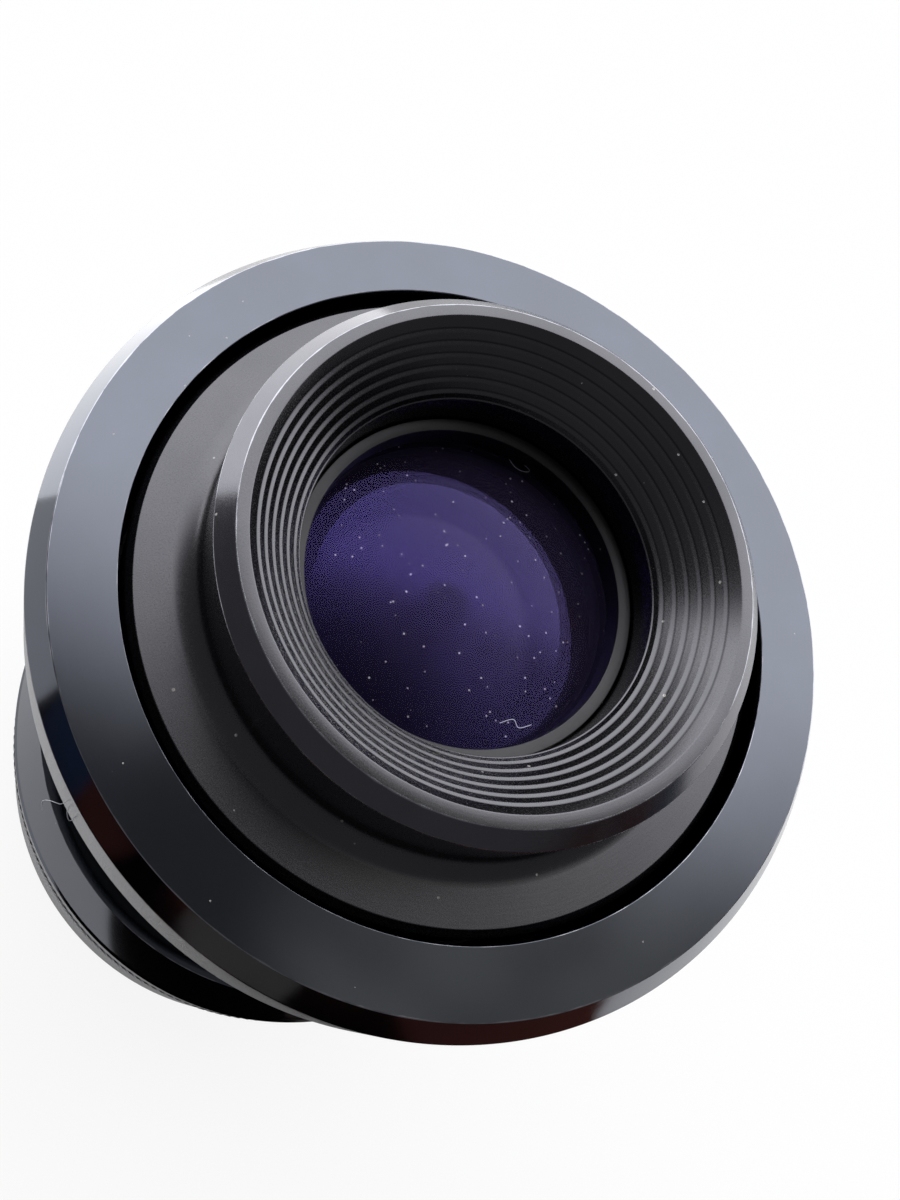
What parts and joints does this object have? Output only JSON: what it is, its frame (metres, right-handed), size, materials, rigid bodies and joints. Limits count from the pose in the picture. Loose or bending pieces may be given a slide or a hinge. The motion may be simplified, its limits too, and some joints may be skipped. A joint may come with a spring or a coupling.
{
  "type": "projection lens",
  "caption": "Projection lens standing on its rear ring, with a stepped hood over coated glass, a wide polished flange and a knurled rear ring, in black anodised aluminium.",
  "frame": {"origin": "centre of the rear ring's end face, on which the lens stands", "axes": "+Z along the optical axis towards the front of the lens; +X to the right as the picture's viewer stands, at -Y"},
  "size_m": [0.0644, 0.0644, 0.0859],
  "materials": {
    "satin_anodise": "black anodised, fine turned, satin",
    "polished_anodise": "black anodised over a polished face, glossy",
    "black_anodise": "black anodised, as turned",
    "coated_glass": "polished, with a purple anti-reflection coating",
    "screw_steel": "blackened"
  },
  "bodies": {
    "root": {"front_barrel": "satin_anodise", "front_retaining_ring": "satin_anodise", "front_lens": "coated_glass", "front_spacer": "black_anodise", "second_lens": "coated_glass", "third_lens": "coated_glass", "main_barrel": "black_anodise", "stop_ring": "black_anodise", "stop_retaining_ring": "black_anodise", "rear_cell": "black_anodise", "fourth_lens": "coated_glass", "fifth_lens": "coated_glass", "rear_spacer": "black_anodise", "rear_lens": "coated_glass", "rear_retaining_ring": "black_anodise", "barrel_lock_ring": "black_anodise", "mount_sleeve": "black_anodise", "flange_ring": "polished_anodise", "rear_ring": "polished_anodise", "rear_ring_screws": "screw_steel", "sleeve_screws": "screw_steel"}
  },
  "joints": []
}
